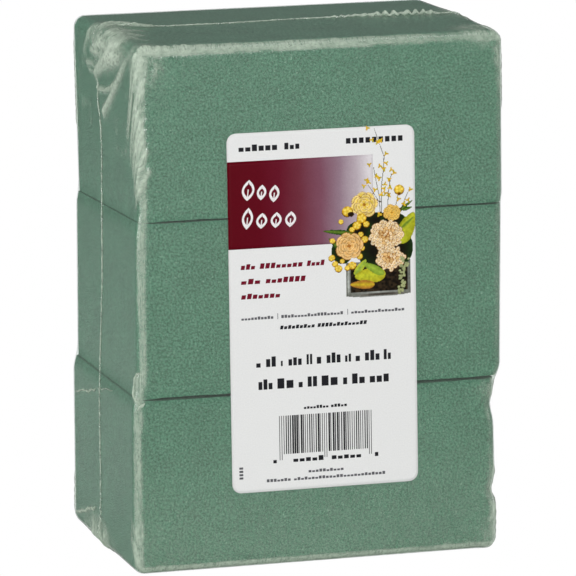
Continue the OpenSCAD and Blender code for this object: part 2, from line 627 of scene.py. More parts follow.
def edge_point(u, z, right=False, back=False):
    """Point on a rounded upright edge: u is 0 where it meets the front or back face,
    1 where it meets the side face, and more further along the side face."""
    sx = 1 if right else -1
    sy = 1 if back else -1
    turn = min(u, 1) * math.pi / 2
    x = side_at(z, right) - sx * FILM_R * (1 - math.sin(turn))
    y = (BACK_Y if back else FRONT_Y) - sy * FILM_R * (1 - math.cos(turn))
    return x, y - sy * max(u - 1, 0) * 5, z


def pleat(start, end, top, down, stops, right=False, back=False):
    """Route along an upright edge: from start to end round it, and down from top."""
    return [edge_point(start + (end - start) * t, top - down * t, right, back) for t in stops]


def left_face(*route):
    """Points on the left face from (y, z)."""
    return [(side_at(z), y, z) for y, z in route]


def top_face(*route):
    """Points on the top from (x, y)."""
    return [(x, y, TOP_Z) for x, y in route]


def folds_seen():
    """The folds that the front, left and top show. Each is a route, a width, a rise and
    how milky it is."""
    folds = [
        (left_face((14, 137), (17, 134), (20, 131.5), (22, 129.5)), 1.1, 0.5, 0.3),
        (left_face((18, 127.5), (12, 128), (7, 126)), 0.8, 0.45, 0.4),
        (left_face((16, 126), (10, 125.5)), 0.6, 0.35, 0.35),
        (left_face((13, 131.5), (6, 131.5), (1, 131)), 0.9, 0.5, 0.45),
        (left_face((8, 126), (0, 130), (-10, 133.5), (-20, 137)), 1.5, 0.8, 0.6),
        (left_face((5, 126.5), (-3, 129), (-12, 131.5), (-22, 133.5)), 1.0, 0.6, 0.45),
        (left_face((6, 122), (-3, 122.5), (-9, 124), (-15, 127), (-22, 131.5), (-28, 135.5)),
         0.75, 0.5, 0.4),
        (left_face((0.5, 116.5), (-5, 119.5), (-10, 122.5), (-17, 127), (-23, 131), (-30, 135.5)),
         1.25, 0.75, 0.7),
        (left_face((3, 128), (-5, 132.5), (-14, 136.5)), 0.9, 0.5, 0.4),
        (left_face((9, 133), (0, 134), (-8, 137)), 0.9, 0.5, 0.4),
        # long creases across the bottom block
        (left_face((31, 36.5), (19, 39), (6, 41.5), (-11, 44.5)), 0.6, 0.15, 0.08),
        (left_face((32, 3), (25, 5), (18, 6.5), (11, 8.5), (5, 10)), 0.7, 0.25, 0.2),
        # small loose curl on the front left edge, above the lower joint
        ([edge_point(0.8, 51.5), edge_point(0.85, 47), edge_point(0.5, 44.5)], 1.2, 0.25, 0.4),
        # over the top left corner
        (top_face((-39, 7), (-42, 9), (-46, 8), (-47, 4)), 1.1, 0.7, 0.6),
        (top_face((-35, 0), (-38, 2), (-41, 5)), 0.8, 0.8, 0.7),
        (top_face((-39, -7), (-42, -4), (-46, 0)), 0.8, 0.4, 0.35),
        (top_face((-41, -15), (-43, -10), (-47, -5)), 0.8, 0.4, 0.35),
        (top_face((-42, -24), (-44, -18), (-47, -12)), 0.8, 0.35, 0.3),
    ]
    # pleats that run down the front left edge, shorter further down
    for k in range(13):
        top = 136.5 - 2.6 * k
        long = 24 - 1.1 * k + RANDOM.uniform(-1.5, 1.5)
        start = RANDOM.uniform(0.1, 0.6)
        end = 2.7 - 0.13 * k + RANDOM.uniform(-0.2, 0.2)
        folds.append((pleat(start, end, top, long, (0, 0.35, 0.7, 1)), 0.62, 0.36, 0.62))
    # fine crimps over the top left end of the top front edge
    for k in range(9):
        x = -46 + 2.3 * k + RANDOM.uniform(-0.5, 0.5)
        reach = 5.5 - 0.45 * k
        route = [(x, FRONT_Y + 1, TOP_Z - 2.4), (x - 0.7, FRONT_Y + 3, TOP_Z),
                 (x - 1.6, FRONT_Y + 3 + reach, TOP_Z)]
        folds.append((route, 0.6, 0.3, 0.35))
    return folds


def folds_unseen():
    """Gathers of the same kind at the corners that the view leaves out."""
    folds = []
    corners = [(True, False, 1), (True, True, 1), (False, True, 1),
               (True, False, 0), (True, True, 0), (False, True, 0), (False, False, 0)]
    for right, back, high in corners:
        at_front_right = (right, back) == (True, False)
        for k in range(5 if at_front_right or not high else 9):
            long = (15 if high else 9) - k + RANDOM.uniform(-1, 1)
            top = 135.5 - 2.8 * k if high else 1 + 2.4 * k
            down = long if high else -long
            start, end = RANDOM.uniform(0.2, 0.5), RANDOM.uniform(1.0, 1.5)
            route = pleat(start, end, top, down, (0, 0.4, 0.75, 1), right, back)
            folds.append((route, 0.65, 0.3, 0.3))
    # fans of pleats on the right face, from the seam to the corners
    for high in (1, 0):
        for sign in (-1, 1):
            for k in range(6):
                z0, z1 = (133 - 2.2 * k, 124 - 3 * k) if high else (4 + 1.5 * k, 10 + 2 * k)
                y0 = sign * (28 - 3.4 * k) + RANDOM.uniform(-1, 1)
                y1 = sign * (3 + 0.6 * k)
                x0, x1 = side_at(z0, True), side_at(z1, True)
                bend = (y0 + y1) / 2, (z0 + z1) / 2 - RANDOM.uniform(0, 1.5)
                folds.append(([(x0, y0, z0), (x0, *bend), (x1, y1, z1)], 0.85, 0.45, 0.35))
    return folds


# Crumpled places, as centre, reach along each axis and strength.
CRUMPLES = [
    ((-47.5, -6, 134.5), (6, 15, 5), 1.0),
    ((-46, 8, 136), (6, 7, 3.5), 0.6),
    ((-45, -33, 133), (4, 5, 6), 0.5),
    ((49.5, 0, 135), (5, 12, 4), 0.7),
    ((46, -30, 136), (7, 7, 3), 0.45),
    ((-50, 6, 1.5), (3.5, 14, 5), 0.75),
    ((47.5, 0, 1.5), (4, 15, 4.5), 0.6),
    ((46.5, -34, 43), (4, 4, 3), 0.35),
    ((47, -34, 2), (4, 5, 4), 0.35),
    ((48, -34.5, 13), (2.5, 3, 13), 0.6),
]


def ridge_field(points, folds):
    """How far the folds stand up and how milky they are, at each point."""
    rise_all = np.zeros(len(points))
    milk_all = np.zeros(len(points))
    for route, width, rise, milk in folds:
        route = np.array(route, float)
        reach = 3 * width
        inside = (points > route.min(0) - reach) & (points < route.max(0) + reach)
        near = np.nonzero(inside.all(1))[0]
        if not len(near):
            continue
        local = points[near]
        away = np.full(len(local), 99.0)
        place = np.zeros(len(local))
        for n, (a, b) in enumerate(zip(route[:-1], route[1:])):
            step = b - a
            t = np.clip((local - a) @ step / (step @ step), 0, 1)
            distance = np.linalg.norm(local - a - t[:, None] * step, axis=1)
            closer = distance < away
            away = np.where(closer, distance, away)
            place = np.where(closer, (n + t) / (len(route) - 1), place)
        narrow = width * (1 - 0.45 * place)
        shape = np.exp(-(away / narrow) ** 1.6) * (1 - place ** 5)
        rise_all[near] = np.maximum(rise_all[near], rise * shape)
        milk_all[near] = np.maximum(milk_all[near], milk * shape)
    return rise_all, milk_all


def ridged(points, size, seed, power=2.0):
    """Sharp-crested noise from 0 to 1."""
    return (1 - np.abs(noise3(points, size, seed))) ** power


def crumple_field(points):
    """Crumple height and milkiness at each point."""
    amount = np.zeros(len(points))
    for centre, reach, strength in CRUMPLES:
        away = (points - np.array(centre)) / np.array(reach)
        amount = np.maximum(amount, strength * np.exp(-(away ** 2).sum(1) ** 1.5))
    bent = points + 1.2 * np.column_stack([noise3(points, 4, seed) for seed in (51, 52, 53)])
    flow = flow_of(bent)
    pleats = ridged(flow, 2.1, 61, 2.5)
    creases = ridged(bent, 3.0, 62, 3)
    fine = ridged(bent, 1.2, 63, 2)
    height = amount * (0.5 * pleats + 0.35 * creases + 0.18 * fine)
    milk = amount * (0.06 + 0.6 * pleats ** 1.5 + 0.4 * creases + 0.55 * fine ** 2)
    return height, milk


# ----------------------------------------------------------------------- film

def film_lines():
    """Grid lines of the bag along each axis, closer where it is gathered."""
    fine = 1.0
    half = (BAG_HIGH[0] - BAG_LOW[0]) / 2
    xs = graded(-half, half, 2.2, [
        (-half, -half + 10, 0.5 * fine), (half - 7, half, 0.6 * fine), (14, half, 1.2),
    ])
    low_ys = graded(FRONT_Y, 0, 1.5, [(FRONT_Y, FRONT_Y + 8, 0.55 * fine), (-7, 0, 0.6 * fine)])
    high_ys = graded(0, BACK_Y, 1.5, [(0, 10, 0.6 * fine), (BACK_Y - 4, BACK_Y, 0.6 * fine)])
    ys = np.concatenate([low_ys, high_ys[1:]])
    zs = graded(0, TOP_Z, 1.5, [
        (112, TOP_Z, 0.55 * fine), (92, 112, 0.8 * fine), (0, 9, 0.6 * fine),
        (JOINTS[0] - 2, JOINTS[0] + 7, 0.6 * fine), (JOINTS[1] - 2, JOINTS[1] + 2, 0.6 * fine),
    ])
    return half, xs, ys, zs


def ruffle(points):
    """How strongly the seam is puckered at each place: most over the right half of the
    top, a little at the top's left end, and some on the sides near the bottom."""
    x, z = points[:, 0], points[:, 2]
    on_top = smooth((z - TOP_Z + 6) / 5)
    ends = on_top * (0.85 * smooth((x - 6) / 28) * smooth((44 - x) / 3)
                    + 0.12 * smooth((-34 - x) / 8))
    low = (1 - on_top) * smooth((22 - z) / 22) * 0.45
    return on_top, ends, low


def seam_ripples(p):
    """Ripples that the shrinking seam pulls up, as height and milkiness."""
    on_top, ends, low = ruffle(p)
    from_seam = np.abs(p[:, 1] - seam_y(p))
    pucker = (0.06 + ends + low) * np.exp(-(from_seam / (1.6 + 4.5 * ends)) ** 1.3)
    way = p[:, 0] * on_top + p[:, 2] * (1 - on_top)
    wave = np.sin(way * 2 * math.pi / RIPPLE_STEP + 2.5 * noise3(p, 5, 71))
    return 0.32 * pucker * (1 + wave), 0.35 * pucker * np.clip(wave, 0, 1)


def edge_milk_and_highlight(p, normals, upright):
    """Painted highlight over the front half of each front edge, with a little milkiness of the
    stretched film.
    """
    # turn and tip are how far the surface has turned away from the front, in degrees
    turn = np.degrees(np.arctan2(np.abs(normals[:, 0]), -normals[:, 1]))
    tip = np.degrees(np.arctan2(normals[:, 2], -normals[:, 1]))
    uneven = 6 * noise3(p, 4, 82) + 5 * noise3(p, 1.2, 83)

    def band(angle, start, end, soft):
        return smooth((angle - start + uneven) / 12) * smooth((end + uneven - angle) / soft)

    # the upright bands are wider where the edge is pleated, and narrower a little above
    # the lower joint
    wide = 74 + 14 * smooth((p[:, 2] - PLEATS_LOW) / 14)
    wide = wide - 18 * np.exp(-((p[:, 2] - 58) / 10) ** 2)
    side_band = band(turn, 12, wide, 14) * upright
    side_band = side_band * np.where(normals[:, 0] < 0, LEFT_MILK_AND_HIGHLIGHT, RIGHT_MILK_AND_HIGHLIGHT)
    # the top band fades towards the right
    top_band = band(tip, 8, 80, 18)
    top_band = top_band * (TOP_MILK_AND_HIGHLIGHT - 0.26 * smooth((p[:, 0] + 5) / 50))
    low_band = band(-tip, 12, 70, 16) * LOW_MILK_AND_HIGHLIGHT
    level = (np.abs(normals[:, 0]) < 0.6) & (normals[:, 1] < 0)
    return np.maximum(side_band, level * np.maximum(top_band, low_band))


def front_veil_and_reflection(p, normals):
    """A faint veil over the front, with painted reflection that makes it denser over the bottom
    block, clear at the joints.
    """
    veil = 0.03 + 0.05 * smooth((44 - p[:, 2]) / 44)
    for joint in JOINTS:
        veil = veil * (1 - np.exp(-((p[:, 2] - joint) / 1.5) ** 2))
    return veil * smooth((-normals[:, 1] - 0.5) / 0.3)


def relief(p, normals):
    """How far the film stands off its plain shape and how milky it is, with painted highlight over
    the front edges and painted reflection over the lower front.
    """
    rise, milk = ridge_field(p, FOLDS)
    height, cloud = crumple_field(p)
    rise = rise + height
    milk = 1 - (1 - milk) * (1 - np.clip(cloud, 0, 1))
    height, cloud = seam_ripples(p)
    rise = rise + height
    milk = np.clip(milk + cloud, 0, 1)

    # fine streaks that run over the edges
    edge = np.clip((1 - np.abs(normals).max(1)) / 0.29, 0, 1)
    upright = np.abs(normals[:, 2]) < 0.5
    flow = p * np.where(upright[:, None], [1, 1, 0.22], [0.3, 1, 1])
    streak = 0.5 + 0.5 * noise3(flow, 0.7, 81)
    # the painted highlight bands of the front edges join the milkiness here
    milk = 1 - (1 - milk) * (1 - edge_milk_and_highlight(p, normals, upright) * (0.75 + 0.5 * streak))
    return rise + 0.05 * edge * streak, 1 - (1 - milk) * (1 - front_veil_and_reflection(p, normals))


def flow_of(p):
    """Coordinates that change fast across the folds and slowly along them."""
    x, y, z = p.T
    left = bag_side(z, False)
    # along the upright edges: nearly straight down, slanting where the pleats slant
    slant = 0.24 * smooth((z - PLEATS_LOW) / 12)
    upright = np.column_stack([0.7 * (x - y) - slant * z, x + y, 0.14 * z])
    # along the level edges: straight over the edge
    level = np.column_stack([x, 0.16 * (y - z), 0.16 * (y + z)])
    # the fan at the top left: rays out of its tip
    height = z + np.maximum(x - left, 0) * smooth((z - TOP_Z + 4) / 4)
    dy, dz = FAN_TIP[0] - y, height - FAN_TIP[1]
    angle = np.arctan2(dz, dy)
    fan = np.column_stack([9 * angle, 0.16 * np.hypot(dy, dz), 0 * x])
    from_edge = np.minimum(np.abs(np.abs(y) - BACK_Y), 9)
    is_level = smooth((z - TOP_Z + 4.5) / 2.5)
    flow = upright + (level - upright) * is_level[:, None]
    in_fan = smooth((-36 - x) / 5) * smooth((z - 117) / 4) * smooth((from_edge - 3) / 3)
    in_fan = in_fan * smooth((16 - y) / 6)
    return flow + (fan - flow) * in_fan[:, None]


def film_surface():
    """Plain surface of the whole bag: points, faces and which faces are the front web."""
    half, xs, ys, zs = film_lines()
    points, faces = box_grid(xs, ys, zs)
    front = points[faces][:, :, 1].mean(1) < 0
    # the grid's middle line is pulled onto the seam, where the two webs end
    pull = 1 - smooth(np.abs(points[:, 1]) / 24)
    p = round_box(points, (-half, FRONT_Y, 0), (half, BACK_Y, TOP_Z), FILM_R, FILM_R, FILM_R)
    z = p[:, 2]
    p = dent(fit_sides(p, half, bag_side(z, False), bag_side(z, True)))
    p[:, 1] += pull * seam_y(p)
    return p, faces, front


# Thickness of the visible film
FILM_THICK = 0.06


def build_film(material_front, material_back):
    points, faces, front = film_surface()
    normals = vertex_normals(points, faces)
    rise, milk = relief(points, normals)
    outer = points + normals * rise[:, None]
    flows = flow_of(points)
    names = ("shrink_film_front", "shrink_film_back")
    for name, chosen, material in zip(names, (front, ~front), (material_front, material_back)):
        out, own, normal, haze_and_highlight, flow = used_only(outer, faces[chosen], normals, milk, flows)
        shell, closed = thicken(out, own, out - FILM_THICK * normal)
        piece = make_piece(name.replace("shrink_film", "film_web"), shell, closed, material,
                           "film", {"haze_and_highlight": np.tile(haze_and_highlight, 2), "flow": np.tile(flow, (2, 1))})
        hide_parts(name)


# ------------------------------------------------------------------- sealed seam

def ring_places(step):
    """Places round the bag's middle plane, with their outward directions."""
    r = FILM_R
    zs = np.arange(r, TOP_Z - r, step)
    corners = []
    for right in (False, True):
        for z in (TOP_Z - r, r):
            corners.append((side_at(z, right) + (-r if right else r), z))
    (lt_x, lt_z), (lb_x, lb_z), (rt_x, rt_z), (rb_x, rb_z) = corners

    def arc(x, z, start, end):
        turn = np.radians(np.linspace(start, end, int(r * math.pi / 2 / step) + 2)[1:-1])
        return [(x + r * math.cos(a), z + r * math.sin(a), math.cos(a), math.sin(a)) for a in turn]

    left = [(x, z, -1, 0) for x, z in zip(bag_side(zs, False), zs)]
    right = [(x, z, 1, 0) for x, z in zip(bag_side(zs, True), zs)][::-1]
    top = [(x, TOP_Z, 0, 1) for x in np.arange(lt_x, rt_x, step)]
    bottom = [(x, 0, 0, -1) for x in np.arange(lb_x, rb_x, step)][::-1]
    ring = left + arc(lt_x, lt_z, 180, 90) + top + arc(rt_x, rt_z, 90, 0) + right
    ring = np.array(ring + arc(rb_x, rb_z, 0, -90) + bottom + arc(lb_x, lb_z, 270, 180))
    points = np.column_stack([ring[:, 0], np.zeros(len(ring)), ring[:, 1]])
    outward = np.column_stack([ring[:, 2], np.zeros(len(ring)), ring[:, 3]])
    points[:, 1] = seam_y(points)
    return points, outward


# Outline of a ridge from one side to the other, as shares of its width and height,
# and how deep its foot reaches into the film
FIN_PROFILE = [(-1, 0), (-0.85, 0.35), (-0.4, 0.85), (0, 1), (0.4, 0.85), (0.85, 0.35), (1, 0)]
FIN_FOOT = 0.1


def fin(path, outward, across, wide, tall, closed):
    """Points and faces of a thin raised ridge that follows a path."""
    rows = []
    for side, out in FIN_PROFILE + [(0, None)]:
        if out is None:
            height = np.full(len(path), -FIN_FOOT)
        else:
            height = out * tall - FIN_FOOT * (out == 0)
        rows.append(path + outward * height[:, None] + across * (side * wide)[:, None])
    count, around = len(path), len(rows)
    points = np.stack(rows, 1).reshape(-1, 3)
    i = np.arange(count if closed else count - 1)[:, None]
    j = np.arange(around)[None, :]
    after, turn = (i + 1) % count, (j + 1) % around
    faces = np.stack(np.broadcast_arrays(i * around + j, i * around + turn,
                                         after * around + turn, after * around + j), -1)
    faces = faces.reshape(-1, 4).tolist()
    if not closed:
        faces.append(list(range(around))[::-1])
        faces.append([(count - 1) * around + k for k in range(around)])
    return points, faces


def seam_fin():
    """The melted edge where the webs meet: a low bead that is beaded at the right end."""
    p, outward = ring_places(0.35)
    rise, _ = relief(p, outward)
    on_top, ends, low = ruffle(p)
    under = np.abs(outward[:, 2] + 1) < 0.5
    way = p[:, 0] * on_top + p[:, 2] * (1 - on_top)
    beat = way * math.pi / 2.35 + 1.2 * noise3(p, 6, 71)
    bead = np.abs(np.sin(beat)) ** 0.8
    # lost in the gather at the top left
    hidden = smooth((p[:, 2] - 122) / 4) * smooth((-41.5 - p[:, 0]) / 2)
    wiggle = (0.08 + 0.25 * ends + 0.7 * low) * np.sin(1.7 * beat + 3 * noise3(p, 3, 91))
    wide = 0.3 + 0.1 * noise3(p, 1.3, 92) + 0.5 * ends * bead
    tall = 0.22 + 0.1 * noise3(p, 1.1, 93) + ends * 0.9 * bead
    tall = np.where(under, 0.1, tall) * (1 - 0.7 * hidden)
    path = p + outward * rise[:, None]
    path[:, 1] += wiggle
    milk = 0.3 + 0.3 * noise3(p, 0.9, 94) + 0.25 * ends
    return fin(path, outward, np.array([0, 1.0, 0]), wide, tall, True), milk * (1 - hidden)


def crease_fins():
    """Sharp loose creases in the film of the left face and the front left edge."""
    curl = [edge_point(u, z) for u, z in ((0.3, 53.2), (0.7, 53), (1.1, 51.4), (1.28, 49.2),
                                          (1.15, 47.2), (0.7, 45.8), (0.35, 45.2))]
    routes = [
        (left_face((31, 36.5), (24, 38), (16, 39.5), (7, 41.5)), 0.24, 0.3, 0.6),
        (left_face((5, 42), (-3, 43.5), (-11, 44.5)), 0.18, 0.2, 0.3),
        (left_face((31, 3.5), (24, 5), (17, 7), (9, 9)), 0.35, 0.35, 0.75),
        (curl, 0.28, 0.4, 0.6),
        ([edge_point(0.15, 45.4), edge_point(0.3, 44.6), edge_point(0.45, 43.2)], 0.4, 0.4, 0.8),
        (left_face((7, 121.5), (0, 122), (-6, 123.5), (-12, 125.5)), 0.25, 0.35, 0.5),
    ]
    for route, wide, tall, milk in routes:
        picked = np.array(route, float)
        steps = np.concatenate([[0], np.cumsum(np.linalg.norm(np.diff(picked, axis=0), axis=1))])
        at = np.arange(0, steps[-1], 0.3)
        path = np.column_stack([np.interp(at, steps, picked[:, k]) for k in range(3)])
        side = bag_side(path[:, 2], False)
        centre = np.column_stack([side + FILM_R, np.full(len(at), FRONT_Y + FILM_R), path[:, 2]])
        outward = path - centre
        outward[:, 1] = np.minimum(outward[:, 1], 0)
        outward[:, 2] = 0
        outward /= np.linalg.norm(outward, axis=1)[:, None]
        ahead = np.gradient(path, axis=0)
        across = np.cross(ahead, outward)
        across /= np.linalg.norm(across, axis=1)[:, None]
        rise, _ = relief(path, outward)
        jagged = 0.25 * noise3(path, 0.8, 95) + 0.35 * noise3(path, 2.2, 96)
        path = path + outward * (0.5 * rise)[:, None] + across * jagged[:, None]
        taper = np.sqrt(np.clip(np.minimum(at, steps[-1] - at) / 1.5, 0.05, 1))
        rough = 1 + 0.4 * noise3(path, 0.9, 97)
        made = fin(path, outward, across, wide * taper * rough, tall * taper * rough, False)
        yield made, milk * (0.75 + 0.35 * noise3(path, 1.1, 98))


def build_seal(material):
    """The seam's fin and the sharp creases, as one piece of closed ridges."""
    every_point, every_face, every_milk = [], [], []
    start = 0
    for (points, faces), milk in [seam_fin(), *crease_fins()]:
        around = len(points) // len(milk)
        every_point.append(points)
        every_face += [[k + start for k in face] for face in faces]
        every_milk.append(np.repeat(milk, around))
        start += len(points)
    points = np.concatenate(every_point)
    points[:, 2] = np.maximum(points[:, 2], -0.05)
    milk = np.clip(np.concatenate(every_milk), 0, 1)
    piece = make_piece("film_seam_fin", points, every_face, material, "film_seal",
                       {"haze_and_highlight": milk, "flow": points * [1, 1, 0.5]})
    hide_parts("film_seal_bead")


# ------------------------------------------------------------------------- label

# Radius of the label's corners, and how deep the glue is and how far it stays inside
LABEL_R = 2.4
GLUE_DEEP, GLUE_INSET = 0.035, 0.25
# The artwork is laid out for a label this wide, and scaled to the real one.
ART_WIDTH = 49.4
ART_SCALE = (LABEL_HIGH[0] - LABEL_LOW[0]) / ART_WIDTH


def label_bow(x, z):
    """How far the label's face stands off its CAD plane: it is slightly wavy."""
    p = np.column_stack([np.ravel(x), np.zeros(np.size(x)), np.ravel(z)])
    wave = 0.5 + 0.5 * noise3(p, 24, 101)
    return (0.07 * wave).reshape(np.shape(x))


def build_label(paper, glue):
    low, high = LABEL_LOW, LABEL_HIGH
    xs = np.linspace(low[0], high[0], 51)
    zs = np.linspace(low[2], high[2], 95)
    for name, node, slot_name, material, back, face in (
        ("label_sheet", "label_paper", "label", paper, high[1], low[1]),
        ("label_glue_layer", "label_adhesive", "adhesive", glue, high[1] + GLUE_DEEP, high[1]),
    ):
        points, faces = box_grid(xs, zs, np.array([face, back]))
        p = round_box(points, (low[0], low[2], face), (high[0], high[2], back),
                      LABEL_R, 0.001, 0.001)
        p = p[:, [0, 2, 1]]
        if node == "label_adhesive":
            inset = GLUE_INSET / np.array([high[0] - low[0], 1, high[2] - low[2]])
            middle = (low + high) / 2
            p = middle + (p - middle) * (1 - 2 * inset * [1, 0, 1])
            p[:, 1] = points[:, 2]
        p[:, 1] -= label_bow(p[:, 0], p[:, 2])
        piece = make_piece(name, p, faces[:, ::-1], material, slot_name)
        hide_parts(node)


# ------------------------------------------------------------------------- print

def on_label(u, v, lift):
    """Point on the label's face from its lower left corner, standing off by lift."""
    x = LABEL_LOW[0] + np.asarray(u, float) * ART_SCALE
    z = LABEL_LOW[2] + np.asarray(v, float) * ART_SCALE
    return np.stack([x, LABEL_LOW[1] - label_bow(x, z) - lift, z], -1)


class Ink:
    """Flat printed shapes of one colour, gathered into one thin closed mesh."""

    def __init__(self, lift):
        self.lift = lift
        self.points = []
        self.faces = []
        self.count = 0

    def loops(self, rings):
        """A shape between one or two loops of (u, v), as a thin closed solid."""
        n = len(rings[0])
        for ring in rings:
            u, v = np.array(ring, float).T
            self.points += [on_label(u, v, self.lift), on_label(u, v, -0.01)]
        a = self.count
        k = np.arange(n)
        after = (k + 1) % n
        walls = np.column_stack([a + k, a + after, a + n + after, a + n + k])
        self.faces += walls.tolist()
        if len(rings) == 1:
            self.faces.append((a + k).tolist()[::-1])
            self.faces.append((a + n + k).tolist())
        else:
            b = a + 2 * n
            self.faces += np.column_stack([b + n + k, b + n + after, b + after, b + k]).tolist()
            self.faces += np.column_stack([b + k, b + after, a + after, a + k]).tolist()
            self.faces += np.column_stack(
                [a + n + k, a + n + after, b + n + after, b + n + k]).tolist()
        self.count += 2 * n * len(rings)

    def bar(self, u0, u1, v0, v1, slant=0.0, base=0.0):
        lean0, lean1 = slant * (v0 - base), slant * (v1 - base)
        self.loops([[(u0 + lean0, v0), (u1 + lean0, v0), (u1 + lean1, v1), (u0 + lean1, v1)]])

    def word(self, u0, u1, v0, height, stroke, marks, slant=0.0):
        """A word's place filled with plain blocks of differing height, not letters."""
        step = (u1 - u0) / marks
        for k in range(marks):
            left = u0 + step * k
            right = left + step - max(stroke * 0.8, step * 0.24)
            tall = height * INK_RANDOM.choice([0.5, 0.62, 0.8])
            self.bar(left, right, v0, v0 + tall, slant, v0)

    def leaf(self, u, v, wide, tall, stroke, lean):
        """Outline of a pointed leaf that stands on (u, v)."""
        t = np.linspace(0, 1, 9)
        half = wide / 2 * np.sin(math.pi * t) ** 0.8
        rings = []
        for inset in (0, stroke):
            share = 1 - 2.2 * inset / tall
            side = np.maximum(half - inset, 0.02)
            height = v + tall / 2 + (t - 0.5) * tall * share
            up = [(u + w + lean * (h - v), h) for w, h in zip(side, height)]
            down = [(u - w + lean * (h - v), h) for w, h in zip(side, height)][::-1]
            rings.append(up + down)
        self.loops(rings)

    def build(self, name, material):
        make_piece(name, np.concatenate(self.points), self.faces, material, "label", flat=True)


INK_RANDOM = np.random.default_rng(11)
# The burgundy band's left, right, lower and upper edges on the label
BAND = (0.0, 38.3, 63.0, 85.4)


def build_band(material):
    """The faded burgundy band, as a thin sheet that follows the label."""
    us = np.linspace(BAND[0], BAND[1], 40)
    vs = np.linspace(BAND[2], BAND[3], 24)
    points, faces = box_grid(us, vs, np.array([0.0, 1.0]))
    p = on_label(points[:, 0], points[:, 1], 0.0)
    p[:, 1] += np.where(points[:, 2] > 0.5, -0.014, 0.01)
    make_piece("print_band", p, faces, material, "label")


def build_text(black, grey, burgundy, white):
    """Plain marks where the label has print: two rows of leaves for the title, and
    blocks for the words, given as (left, right, number of blocks)."""
    ink = Ink(0.03)
    for u, v, wide, tall in ((5.1, 75.3, 3.3, 5.3), (8.7, 75.3, 2.5, 3.9), (12.0, 74.6, 2.7, 4.4),
                             (4.8, 68.0, 2.9, 5.5), (8.6, 68.0, 2.9, 4.0), (12.4, 68.0, 2.9, 4.0),
                             (16.2, 68.0, 2.9, 4.0)):
        ink.leaf(u, v, wide, tall, 0.55, 0.12)
        ink.bar(u - 0.14, u + 0.14, v + 0.6, v + 0.55 * tall, 0.12, v)
    ink.build("print_title", white)

    ink = Ink(0.02)
    for u0, u1, marks in ((3.1, 13.6, 6), (15.1, 19.4, 3)):
        ink.word(u0, u1, 87.9, 2.1, 0.5, marks)
    for k in range(9):
        ink.bar(31.3 + 1.72 * k, 32.5 + 1.72 * k, 88.5, 89.9)
    rows = [
        (32.3, [(6.8, 8.3, 1), (9.4, 12.3, 2), (13.3, 14.1, 1), (15.3, 19.1, 3), (20.1, 21.9, 2),
                (22.8, 24.3, 1), (25.4, 29.4, 3), (30.3, 32.2, 2), (33.1, 34.6, 1),
                (35.6, 39.8, 3), (40.6, 42.8, 2)]),
        (26.5, [(7.3, 11.3, 3), (12.3, 17.1, 2), (17.9, 19.3, 1), (20.3, 23.1, 2),
                (24, 28.8, 2), (29.7, 31.1, 1), (32.1, 35.9, 2), (36.8, 42.3, 3)]),
    ]
    for v, words in rows:
        for u0, u1, marks in words:
            ink.word(u0, u1, v, 3.3 if marks != 1 else 2.2, 0.4, marks)
    for u0, u1, marks in ((13.2, 22.5, 9), (23.1, 36.3, 13)):
        ink.word(u0, u1, 41.8, 1.2, 0.3, marks, 0.22)
    for u0, u1, marks in ((19.2, 25.9, 8), (26.4, 30.8, 5)):
        ink.word(u0, u1, 20.8, 1.0, 0.26, marks)
    ink.build("print_black", black)

    ink = Ink(0.02)
    for u0, u1, marks in ((3.1, 11.7, 10), (13.6, 30.1, 19), (32.1, 46.4, 16)):
        ink.word(u0, u1, 44.7, 1.0, 0.2, marks)
    for u in (12.6, 31.1):
        ink.bar(u, u + 0.15, 44.5, 46.0)
    for v, words in ((4.2, [(20.2, 29.7, 10)]), (2.4, [(9.1, 15.6, 7), (16.3, 40.8, 26)])):
        for u0, u1, marks in words:
            ink.word(u0, u1, v, 0.95, 0.2, marks)
    for k in range(4):
        ink.bar(1.9, 2.9, 3.6 + 0.86 * k, 4.15 + 0.86 * k)
    ink.build("print_grey", grey)

    ink = Ink(0.02)
    for v, words in (
        (57.7, [(3.1, 7.1, 3), (8.1, 19.6, 8), (20.5, 25.3, 4)]),
        (53.9, [(3.1, 8.5, 3), (9.6, 20.3, 7)]),
        (50.1, [(3.1, 13.6, 7)]),
    ):
        for u0, u1, marks in words:
            ink.word(u0, u1, v, 1.75, 0.36, marks, 0.2)
    ink.build("print_burgundy", burgundy)


def build_barcode(black):
    """A bar pattern that codes nothing, with plain marks where its digits would be."""
    ink = Ink(0.02)
    first, last, bars = 12.6, 37.5, 44
    long_bars = [0, 1, 21, 22, 42, 43]
    spacing = (last - first) / bars
    for k in range(bars):
        wide = spacing * (0.3 if k in long_bars else INK_RANDOM.choice([0.34, 0.5, 0.8]))
        foot = 7.9 if k in long_bars else 9.4
        ink.bar(first + spacing * k, first + spacing * k + wide, foot, 19.4)
    for u0, u1, height, marks in ((10.9, 12.1, 1.7, 1), (16.2, 24.6, 1.6, 5),
                                  (26.4, 34.6, 1.6, 5), (37.9, 39.1, 1.7, 1)):
        ink.word(u0, u1, 7.2, height, 0.3, marks)
    ink.build("print_bars", black)


# ------------------------------------------------------------- printed flowers

PEACH, CREAM, AMBER = (218, 178, 118), (245, 233, 205), (160, 104, 48)
YELLOW, GOLD, BROWN = (226, 190, 62), (196, 146, 28), (74, 44, 16)
LEAF, LIME, PINE, BLACK = (98, 126, 44), (186, 190, 52), (32, 56, 24), (26, 22, 16)
SAGE = (132, 140, 92)


